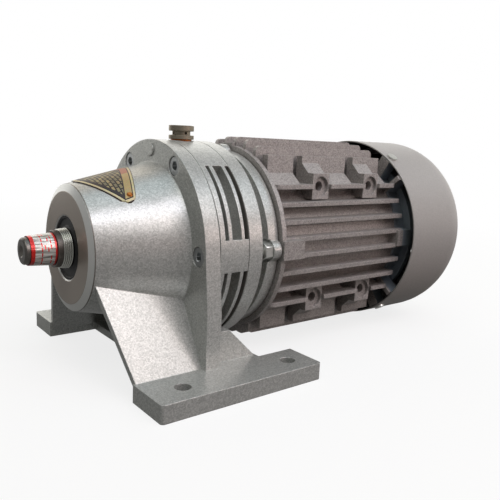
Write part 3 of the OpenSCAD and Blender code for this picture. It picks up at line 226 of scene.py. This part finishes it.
# Plain finishes: colour, metallic, roughness, grain in mm, strength of the grain
plain = {
    "groundSteel": ("#77736F", 1.0, 0.34, 0.5, 0.25),  # under oil: dark grey and satin
    "bearingSteel": ("#C2C2C3", 1.0, 0.18, 0.6, 0.08),  # hardened, polished: sharp glints
    "screwSteel": ("#B0B3B4", 1.0, 0.36, 0.6, 0.15),  # rolled and wiped: soft glints
    "zincSteel": ("#DEDEDA", 1.0, 0.30, 0.8, 0.10),  # plated: whitish and fairly bright
    "turnedBrass": ("#B9743C", 1.0, 0.34, 0.6, 0.12),  # from the lathe: warm and bright
    "dullBrass": ("#9C9383", 1.0, 0.45, 0.5, 0.30),  # tarnished: greyish, broad glints
    "varnishedCopper": ("#A3602F", 0.8, 0.35, 0.8, 0.25),  # wound wire: reddish brown
    "sheetStack": ("#565860", 0.8, 0.55, 0.5, 0.30),  # stacked sheet iron: dark and rough
    "castAluminium": ("#C4C7CA", 1.0, 0.38, 1.0, 0.20),  # as cast: pale grey and grainy
    "nitrileRubber": ("#17181A", 0.0, 0.55, 0.7, 0.20),  # moulded: near black, half matt
    "oiledPaper": ("#6E6B66", 0.0, 0.80, 0.6, 0.30),  # cut gasket sheet: grey and matt
    "fanPolymer": ("#24262A", 0.0, 0.50, 0.7, 0.15),  # moulded: dark and half matt
    "ringSteel": ("#B4B4AE", 1.0, 0.24, 0.9, 0.03),  # finely turned: bright, hardly grained
}

# Grain of the plain finishes: how far its strength darkens the colour, the least and the
# most roughness as shares of the finish's own, and its depth
grainLook = dict(darkening=1.6, smoothest=0.8, roughest=1.25, depth=0.05 * mm)


# One colour with a fine grain in its brightness, its gloss and its surface
def plainFinish(name):
    code, metal, rough, grain, strength = plain[name]
    material, tree, output, coords = newMaterial(name)
    noise = addNode(tree, "TexNoise", {"Vector": coords}, in_Scale=1 / (grain * mm),
                    in_Detail=3.0)
    base = linear(code)
    share = 1 - grainLook["darkening"] * strength
    shade = tuple(channel * share for channel in base[:3]) + (1.0,)
    colour = addNode(tree, "MixRGB", {"Fac": noise.outputs["Fac"]}, in_Color1=shade,
                     in_Color2=base)
    gloss = addNode(tree, "MapRange", {"Value": noise.outputs["Fac"]},
                    in_To_Min=rough * grainLook["smoothest"],
                    in_To_Max=rough * grainLook["roughest"])
    bump = addNode(tree, "Bump", {"Height": noise.outputs["Fac"]}, in_Strength=strength,
                   in_Distance=grainLook["depth"])
    shader = addNode(tree, "BsdfPrincipled", {"Base Color": colour.outputs["Color"],
                                              "Roughness": gloss.outputs["Result"],
                                              "Normal": bump.outputs["Normal"]},
                     in_Metallic=metal)
    tree.links.new(shader.outputs[0], output.inputs["Surface"])
    return material


# Outline of the plate in mm: its tip and rear point behind the nose face, the factors of
# its curved front edge, its half width and the slope of its straight rear edge. The front
# edge is slanting, so its distances are scaled by frontShare to be measured across.
plateShape = dict(tip=5.7, rear=46.2, lean=0.2, curve=0.0095, halfWidth=37.2,
                  rearSlope=0.335, frontShare=0.85)

# Print on the plate, in mm: both sides of the border and the inner side of the line, from
# any edge; where the boxes begin, from the front and the rear edge; where the band begins,
# from the rear edge; half width of its warm middle; size and gap of a box; then the grain
# and the share of the wear
plateMarks = dict(border=(0.5, 1.9), line=2.6, fieldFront=5.2, fieldRear=8.2, band=7.4,
                  warmHalf=12.0, boxWidth=4.2, boxHeight=2.7, boxGap=0.45, grain=0.8,
                  wear=0.45, metal=0.35, rough=0.42)
# The rim colour is painted shade along the plate's edges
plateColours = dict(rimShade="#4A4038", border="#C9BC96", line="#231D1C", field="#332C2F",
                    boxPale="#A8986E", boxDark="#6E6957", boxGap="#2C2628",
                    band="#B09A6C", warm="#A8705A")


# Stamped brass plate: a dark rim that is painted shade along its edges, a pale gold border
# that follows the outline, a fine black line inside it, then a dark field with rows of
# blank boxes and a plain gold band along the rear edge
def platePrint():
    material, tree, output, coords = newMaterial("platePrint")
    shape, marks, inks = plateShape, plateMarks, plateColours
    part = addNode(tree, "SeparateXYZ", {"Vector": coords})
    x = calc(tree, "DIVIDE", calc(tree, "ABSOLUTE", part.outputs["X"]), mm)
    y = calc(tree, "DIVIDE", calc(tree, "SUBTRACT", part.outputs["Y"], noseY), mm)
    bend = calc(tree, "MULTIPLY", x, calc(tree, "ADD", shape["lean"], calc(
        tree, "MULTIPLY", x, shape["curve"])))
    front = calc(tree, "SUBTRACT", y, calc(tree, "ADD", bend, shape["tip"]))
    rear = calc(tree, "SUBTRACT", calc(tree, "SUBTRACT", shape["rear"], y),
                calc(tree, "MULTIPLY", x, shape["rearSlope"]))
    side = calc(tree, "SUBTRACT", shape["halfWidth"], x)
    inset = calc(tree, "MINIMUM", calc(tree, "MINIMUM", calc(
        tree, "MULTIPLY", front, shape["frontShare"]), rear), side)
    flat = addNode(tree, "CombineXYZ", {"X": x, "Y": y})
    boxes = addNode(tree, "TexBrick", {"Vector": flat.outputs[0]}, in_Scale=1.0,
                    in_Brick_Width=marks["boxWidth"], in_Row_Height=marks["boxHeight"],
                    in_Mortar_Size=marks["boxGap"], in_Mortar_Smooth=0.0, in_Bias=0.0,
                    in_Color1=linear(inks["boxPale"]), in_Color2=linear(inks["boxDark"]),
                    in_Mortar=linear(inks["boxGap"]))
    borderFrom, borderTo = marks["border"]
    field = calc(tree, "GREATER_THAN", inset, marks["line"])
    grid = calc(tree, "MULTIPLY", calc(tree, "GREATER_THAN", front, marks["fieldFront"]),
                calc(tree, "GREATER_THAN", rear, marks["fieldRear"]))
    band = calc(tree, "MULTIPLY", calc(tree, "LESS_THAN", rear, marks["band"]), field)
    warm = calc(tree, "MULTIPLY", band, calc(tree, "LESS_THAN", x, marks["warmHalf"]))
    # The dark rim is painted shade along the plate's edges
    rimShade = addNode(tree, "RGB").outputs[0]
    rimShade.default_value = linear(inks["rimShade"])
    ground = layered(tree, rimShade, [
        (between(tree, inset, borderFrom, borderTo), inks["border"]),
        (between(tree, inset, borderTo, marks["line"]), inks["line"]),
        (field, inks["field"])])
    boxed = addNode(tree, "MixRGB", {"Fac": grid, "Color1": ground,
                                     "Color2": boxes.outputs["Color"]}).outputs["Color"]
    colour = layered(tree, boxed, [(band, inks["band"]), (warm, inks["warm"])])
    noise = addNode(tree, "TexNoise", {"Vector": coords},
                    in_Scale=1 / (marks["grain"] * mm), in_Detail=2.0)
    worn = addNode(tree, "MixRGB", {"Color1": colour, "Color2": noise.outputs["Color"]},
                   blend_type="OVERLAY", in_Fac=marks["wear"])
    shader = addNode(tree, "BsdfPrincipled", {"Base Color": worn.outputs["Color"]},
                     in_Metallic=marks["metal"], in_Roughness=marks["rough"])
    tree.links.new(shader.outputs[0], output.inputs["Surface"])
    return material


finishes = {name: enamel(name) for name in paint}
finishes.update({name: plainFinish(name) for name in plain})
finishes["platePrint"] = platePrint()

# Record slot to finish
slotFinish = {
    "cast_enamel": "castEnamel", "frame_enamel": "frameEnamel",
    "cover_enamel": "coverEnamel", "ground_steel": "groundSteel",
    "bearing_steel": "bearingSteel", "black_steel": "screwSteel",
    "zinc_steel": "zincSteel", "cage_brass": "turnedBrass",
    "breather_brass": "dullBrass", "copper_wire": "varnishedCopper",
    "lamination": "sheetStack", "cage_aluminium": "castAluminium",
    "seal_rubber": "nitrileRubber", "gasket_paper": "oiledPaper",
    "fan_plastic": "fanPolymer", "plate": "platePrint",
}
slotOf = {part["node"]: part["material_slot"] for part in frame["record"]["subparts"]}
for node, slotName in slotOf.items():
    mesh = frame["nodes"][node].data
    mesh.materials.clear()
    mesh.materials.append(finishes[slotFinish[slotName]])
print("stage: finishes on", len(frame["nodes"]), "nodes")


bodyOf = {node: body for body, members in frame["record"]["behaviour"]["bodies"].items()
          for node in members}


# Hangs a mesh on its body as a finished piece
def addPiece(name, mesh, body, finish):
    piece = bpy.data.objects.new(name, mesh)
    bpy.context.scene.collection.objects.link(piece)
    mesh.materials.clear()
    mesh.materials.append(finishes[finish])
    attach(piece, body)
    return piece


# Smooth shading, with sharp edges where faces meet at more than the angle in degrees
def smoothed(mesh, angle):
    mesh.shade_smooth()
    mesh.set_sharp_from_angle(angle=math.radians(angle))


# Parts whose edges are rounded: width in mm, segments. The big castings have none: the
# round edge is in their enamel.
soften = {
    "output_housing": None, "pin_gear_case": None, "motor_flange": None,
    "motor_frame": None, "rear_end_shield": None, "fan_cover": (0.4, 2),
    "terminal_box": (1.0, 3), "terminal_lid": (1.0, 3), "output_shaft": (0.3, 1),
    "shield_nuts": (0.3, 1), "flange_screws": (0.3, 1), "cable_gland": (0.4, 1),
    "breather_plug": (0.3, 1),
}

# Angles in degrees past which an edge stays sharp on a rounded part and on a casting, and
# past which it is rounded, and the distance in metres at which corners are merged
edgeLimits = dict(sharpRounded=35, sharpCasting=21, rounded=38, merge=1e-6)


# A copy with its doubled corners merged and its curved faces smoothed, then its sharp
# edges rounded where a rounding is given
def makeSoftened(node, rounding):
    mesh = frame["nodes"][node].data.copy()
    work = bmesh.new()
    work.from_mesh(mesh)
    bmesh.ops.remove_doubles(work, verts=work.verts, dist=edgeLimits["merge"])
    work.to_mesh(mesh)
    work.free()
    for stored in [a for a in mesh.attributes if a.name == "custom_normal"]:
        mesh.attributes.remove(stored)  # or they would hide the sharp edges
    smoothed(mesh, edgeLimits["sharpRounded" if rounding else "sharpCasting"])
    piece = addPiece(node + "_soft", mesh, bodyOf[node],
                     slotFinish[slotOf[node]])
    if rounding:
        width, segments = rounding
        bevel = piece.modifiers.new("edges", "BEVEL")
        bevel.width, bevel.segments = width * mm, segments
        bevel.limit_method = "ANGLE"
        bevel.angle_limit = math.radians(edgeLimits["rounded"])
        bevel.use_clamp_overlap, bevel.loop_slide = False, False
    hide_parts(node)


for node, rounding in soften.items():
    makeSoftened(node, rounding)
print("stage: edges softened on", len(soften), "nodes")

turnedSharp = 50  # degrees past which an edge of a turned piece stays sharp


# Turns a closed (radius, y) profile in metres about the shaft's axis: at angle a the point
# is r cos a across, y along, and the axis height plus r sin a up. A ripple of the angle
# and y is added to every r.
def revolve(name, profile, turns, body, finish, ripple=None):
    angles = np.linspace(0, 2 * np.pi, turns, endpoint=False)
    profile = np.array(profile)
    angle, radius = np.meshgrid(angles, profile[:, 0], indexing="ij")
    y = np.broadcast_to(profile[:, 1], angle.shape)
    if ripple:
        radius = radius + ripple(angle, y)
    points = np.stack([radius * np.cos(angle), y, axisHeight + radius * np.sin(angle)],
                      axis=-1)
    count = len(profile)
    turn, place = np.meshgrid(np.arange(turns), np.arange(count), indexing="ij")
    here, after = turn * count, (turn + 1) % turns * count
    beside = (place + 1) % count
    faces = np.stack([here + place, here + beside, after + beside, after + place], axis=-1)
    mesh = bpy.data.meshes.new(name)
    mesh.from_pydata(points.reshape(-1, 3).tolist(), [], faces.reshape(-1, 4).tolist())
    smoothed(mesh, turnedSharp)
    addPiece(name, mesh, body, finish)


# Packing film shrunk over the shaft's end. Its shape: ends along the shaft, radii there and
# the power by which they grow, wall, rings and turns of the mesh, depth of the ripple and
# its share at the ends, then the folds and finer creases and how far each wanders
film = dict(front=noseY - 25.4 * mm, rear=noseY - 9.2 * mm, frontR=9.8 * mm,
            rearR=11.0 * mm, flare=1.2, thick=0.35 * mm, rings=14, turns=160,
            ripple=0.14 * mm, endShare=0.25, folds=7, foldDrift=1.1, creases=17,
            creaseDrift=2.3, creaseShare=0.5)

# Its print: places as shares of the length from front to rear, bars in radians round the
# shaft and shares along it, and the noise levels where grey streaks end and white begins
filmPrint = dict(frontBand=0.15, rearBand=0.93, bars=(0.32, 0.80), barWidth=0.34,
                 barRow=0.12, barGap=0.035, barBias=0.1, barLevel=0.36,
                 stretch=(5, 0.7, 1), streakScale=1.6, streaks=(0.42, 0.62),
                 grey="#8E8E88", white="#F0EFE9", red="#D3221E", bump=0.4,
                 depth=0.6 * mm, metal=0.25, rough=0.22)


# White packing film with grey lengthwise streaks, a wide red band in front, a narrow one
# behind, and short red bars between. Shrunk plastic: glossy, and a little silvery.
def shrinkFilm():
    look = filmPrint
    material, tree, output, coords = newMaterial("shrinkFilm")
    part = addNode(tree, "SeparateXYZ", {"Vector": coords})
    along = addNode(tree, "MapRange", {"Value": part.outputs["Y"]},
                    in_From_Min=film["front"], in_From_Max=film["rear"]).outputs["Result"]
    height = calc(tree, "SUBTRACT", part.outputs["Z"], axisHeight)
    angle = calc(tree, "ARCTAN2", height, part.outputs["X"])
    flat = addNode(tree, "CombineXYZ", {"X": angle, "Y": along})
    stretch = addNode(tree, "Mapping", {"Vector": flat.outputs[0]},
                      in_Scale=look["stretch"])
    streaks = addNode(tree, "TexNoise", {"Vector": stretch.outputs[0]},
                      in_Scale=look["streakScale"], in_Detail=3.0)
    greyTo, whiteFrom = look["streaks"]
    ramp = addNode(tree, "MapRange", {"Value": streaks.outputs["Fac"]},
                   in_From_Min=greyTo, in_From_Max=whiteFrom)
    ground = addNode(tree, "MixRGB", {"Fac": ramp.outputs["Result"]},
                     in_Color1=linear(look["grey"]), in_Color2=linear(look["white"]))
    bands = calc(tree, "MAXIMUM", calc(tree, "LESS_THAN", along, look["frontBand"]),
                 calc(tree, "GREATER_THAN", along, look["rearBand"]))
    bars = addNode(tree, "TexBrick", {"Vector": flat.outputs[0]}, in_Scale=1.0,
                   in_Brick_Width=look["barWidth"], in_Row_Height=look["barRow"],
                   in_Mortar_Size=look["barGap"], in_Mortar_Smooth=0.0,
                   in_Bias=look["barBias"], in_Color1=(1, 1, 1, 1),
                   in_Color2=(0, 0, 0, 1), in_Mortar=(0, 0, 0, 1))
    middle = between(tree, along, *look["bars"])
    barred = calc(tree, "GREATER_THAN", calc(
        tree, "MULTIPLY", bars.outputs["Color"], middle), look["barLevel"])
    colour = layered(tree, ground.outputs["Color"], [
        (calc(tree, "MAXIMUM", bands, barred), look["red"])])
    bump = addNode(tree, "Bump", {"Height": streaks.outputs["Fac"]},
                   in_Strength=look["bump"], in_Distance=look["depth"])
    shader = addNode(tree, "BsdfPrincipled", {"Base Color": colour,
                                              "Normal": bump.outputs["Normal"]},
                     in_Metallic=look["metal"], in_Roughness=look["rough"])
    tree.links.new(shader.outputs[0], output.inputs["Surface"])
    return material


# A few shallow folds that run lengthwise and wander a little: a sine of the angle plus
# half of a finer one, each shifted along the length, and a quarter as deep at both ends
def filmRipple(angle, y):
    t = (y - film["front"]) / (film["rear"] - film["front"])
    folds = np.sin(film["folds"] * angle + film["foldDrift"] * t)
    creases = np.sin(film["creases"] * angle - film["creaseDrift"] * t)
    depth = np.clip(4 * t * (1 - t) + film["endShare"], 0, 1)
    return film["ripple"] * (folds + film["creaseShare"] * creases) * depth


# The radius grows from front to rear by the flare's power of the place between them, and
# the inner wall lies one wall thickness further in
def makeFilm():
    steps = np.linspace(0, 1, film["rings"])
    y = film["front"] + steps * (film["rear"] - film["front"])
    outer = film["frontR"] + (film["rearR"] - film["frontR"]) * steps ** film["flare"]
    profile = list(zip(outer, y)) + list(zip((outer - film["thick"])[::-1], y[::-1]))
    revolve("filmSleeve", profile, film["turns"], "output", "shrinkFilm",
            filmRipple)


# Turned rings of the dust lip that runs on the shaft in front of the seal
lip = dict(front=noseY - 5.4 * mm, rear=noseY + 0.9 * mm, frontR=12.7 * mm,
           rearR=13.4 * mm, bore=12.6 * mm, ridges=5, depth=0.45 * mm, rings=61, turns=96)


# A slight taper from front to rear, and on it the size of a sine of the place, so that
# round ridges meet in sharp grooves
def makeLip():
    steps = np.linspace(0, 1, lip["rings"])
    y = lip["front"] + steps * (lip["rear"] - lip["front"])
    ridge = lip["depth"] * np.abs(np.sin(np.pi * lip["ridges"] * steps))
    outer = lip["frontR"] + (lip["rearR"] - lip["frontR"]) * steps + ridge
    profile = list(zip(outer, y)) + [(lip["bore"], y[-1]), (lip["bore"], y[0])]
    revolve("lipRings", profile, lip["turns"], "casing", "ringSteel")


finishes["shrinkFilm"] = shrinkFilm()
makeFilm()
makeLip()
print("stage: shaft film and lip rings")


studio = dict(
    floorSize=6.0, floorColour="#F2F2F1", bounceColour="#4A4A48", floorLift=0.80,
    floorFade=(0.35, 1.1),  # radii in metres between which the floor turns white
    worldColour="#F6F2E6", worldLevel=0.11, glossShare=0.25,
    lampAim=(0, 0.05, axisHeight), lampDistance=1.5,
    # name: direction towards the lamp (x, y, z), size (m), watts, tint
    lamps={
        "window": ((0.75, 0.20, 0.63), (0.9, 0.7), 7.6, "#FFF3F2"),
        "highWindow": ((0.55, -0.10, 0.83), (0.6, 0.45), 4.6, "#F6F4FF"),
        "frontCeiling": ((0.20, -0.50, 0.85), (1.0, 0.8), 4.8, "#FCFFF8"),
        "rearWindow": ((0.41, 0.61, 0.68), (1.0, 0.8), 2.6, "#E4F4FF"),
        "ceiling": ((0.00, 0.10, 1.00), (1.0, 0.8), 2.4, "#D8F4FF"),
        "lowWindow": ((0.77, 0.61, 0.19), (0.5, 0.3), 1.6, "#FFE6E0"),
        "leftGlow": ((-0.70, 0.10, 0.70), (1.0, 0.8), 1.6, "#FFE8C8"),
        "lowGlow": ((0.95, 0.10, 0.08), (1.0, 0.8), 0.6, "#FFC8C0"),
        "backWindow": ((-0.70, 0.75, 0.55), (1.2, 1.0), 5.0, "#FFFDF8"),
        "leftWall": ((-1.00, -0.15, 0.30), (1.2, 1.0), 5.0, "#FFFDF8"),
        "rearWall": ((0.10, 1.00, 0.25), (1.2, 1.0), 4.0, "#FFFDF8"),
    })

# Place in metres, angles in degrees, focal length and sensor in mm, near and far limits in
# metres
lens = dict(place=(0.3783, -0.2224, 0.1604), yaw=51.529, pitch=-10.282, roll=2.538,
            focal=41.719, sensor=36.0, near=0.01, far=30.0)


# Rays of the eye and of glass meet the pale room, and gloss meets part of it
def paleRays(tree):
    path = addNode(tree, "LightPath")
    gloss = calc(tree, "MULTIPLY", path.outputs["Is Glossy Ray"], studio["glossShare"])
    return calc(tree, "MAXIMUM", calc(tree, "MAXIMUM", path.outputs["Is Camera Ray"],
                                      path.outputs["Is Transmission Ray"]), gloss)


# Pale to the eye, darker to the light that it throws back up, as a table is, and fading
# into the white of the room far out
def makeFloor():
    size = studio["floorSize"]
    mesh = bpy.data.meshes.new("floor")
    mesh.from_pydata([(-size, -size, 0), (size, -size, 0), (size, size, 0),
                      (-size, size, 0)], [], [(0, 1, 2, 3)])
    floor = bpy.data.objects.new("floor", mesh)
    bpy.context.scene.collection.objects.link(floor)
    material, tree, output, coords = newMaterial("paleFloor")
    radius = addNode(tree, "VectorMath", {0: coords}, operation="LENGTH")
    fadeFrom, fadeTo = studio["floorFade"]
    far = addNode(tree, "MapRange", {"Value": radius.outputs["Value"]},
                  in_From_Min=fadeFrom, in_From_Max=fadeTo, in_To_Min=studio["floorLift"],
                  in_To_Max=1.0)
    pale = addNode(tree, "BsdfDiffuse", in_Color=linear(studio["floorColour"]))
    dark = addNode(tree, "BsdfDiffuse", in_Color=linear(studio["bounceColour"]))
    white = addNode(tree, "Emission", in_Strength=1.0)
    shown = addNode(tree, "MixShader", {0: far.outputs["Result"], 1: pale.outputs[0],
                                        2: white.outputs[0]})
    both = addNode(tree, "MixShader", {0: paleRays(tree), 1: dark.outputs[0],
                                       2: shown.outputs[0]})
    tree.links.new(both.outputs[0], output.inputs["Surface"])
    mesh.materials.append(material)


# White to the eye, and a faint warm light on the object
def makeWorld():
    world = bpy.data.worlds.new("studioAir")
    bpy.context.scene.world = world
    world.use_nodes = True
    tree = world.node_tree
    tree.nodes.clear()
    air = addNode(tree, "Background", in_Color=linear(studio["worldColour"]),
                  in_Strength=studio["worldLevel"])
    white = addNode(tree, "Background", in_Color=(1, 1, 1, 1), in_Strength=1.0)
    both = addNode(tree, "MixShader", {0: paleRays(tree), 1: air.outputs[0],
                                       2: white.outputs[0]})
    addNode(tree, "OutputWorld", {"Surface": both.outputs[0]})


def makeLamps():
    for name, (direction, size, watts, tint) in studio["lamps"].items():
        lamp = bpy.data.lights.new(name, "AREA")
        lamp.color = linear(tint)[:3]
        lamp.shape = "RECTANGLE"
        lamp.size, lamp.size_y = size
        lamp.energy = watts
        holder = bpy.data.objects.new(name, lamp)
        toward = Vector(direction).normalized()
        holder.location = Vector(studio["lampAim"]) + toward * studio["lampDistance"]
        holder.rotation_mode = "QUATERNION"
        holder.rotation_quaternion = (-toward).to_track_quat("-Z", "Y")
        bpy.context.scene.collection.objects.link(holder)


# Aims along yaw and pitch, then rolls the view's right and up directions
def makeCamera():
    yaw, pitch, roll = (math.radians(lens[k]) for k in ("yaw", "pitch", "roll"))
    ahead = Vector((-math.sin(yaw) * math.cos(pitch), math.cos(yaw) * math.cos(pitch),
                    math.sin(pitch)))
    right = ahead.cross(Vector((0, 0, 1))).normalized()
    up = right.cross(ahead)
    turnedRight = right * math.cos(roll) + up * math.sin(roll)
    turnedUp = up * math.cos(roll) - right * math.sin(roll)
    camera = bpy.data.cameras.new("camera")
    camera.lens, camera.sensor_width = lens["focal"], lens["sensor"]
    camera.clip_start, camera.clip_end = lens["near"], lens["far"]
    holder = bpy.data.objects.new("camera", camera)
    turn = Matrix((turnedRight, turnedUp, -ahead)).transposed().to_4x4()
    holder.matrix_world = Matrix.Translation(lens["place"]) @ turn
    bpy.context.scene.collection.objects.link(holder)
    bpy.context.scene.camera = holder


makeFloor()
makeWorld()
makeLamps()
makeCamera()
bpy.context.scene.view_settings.view_transform = "Standard"
print("stage: studio ready")
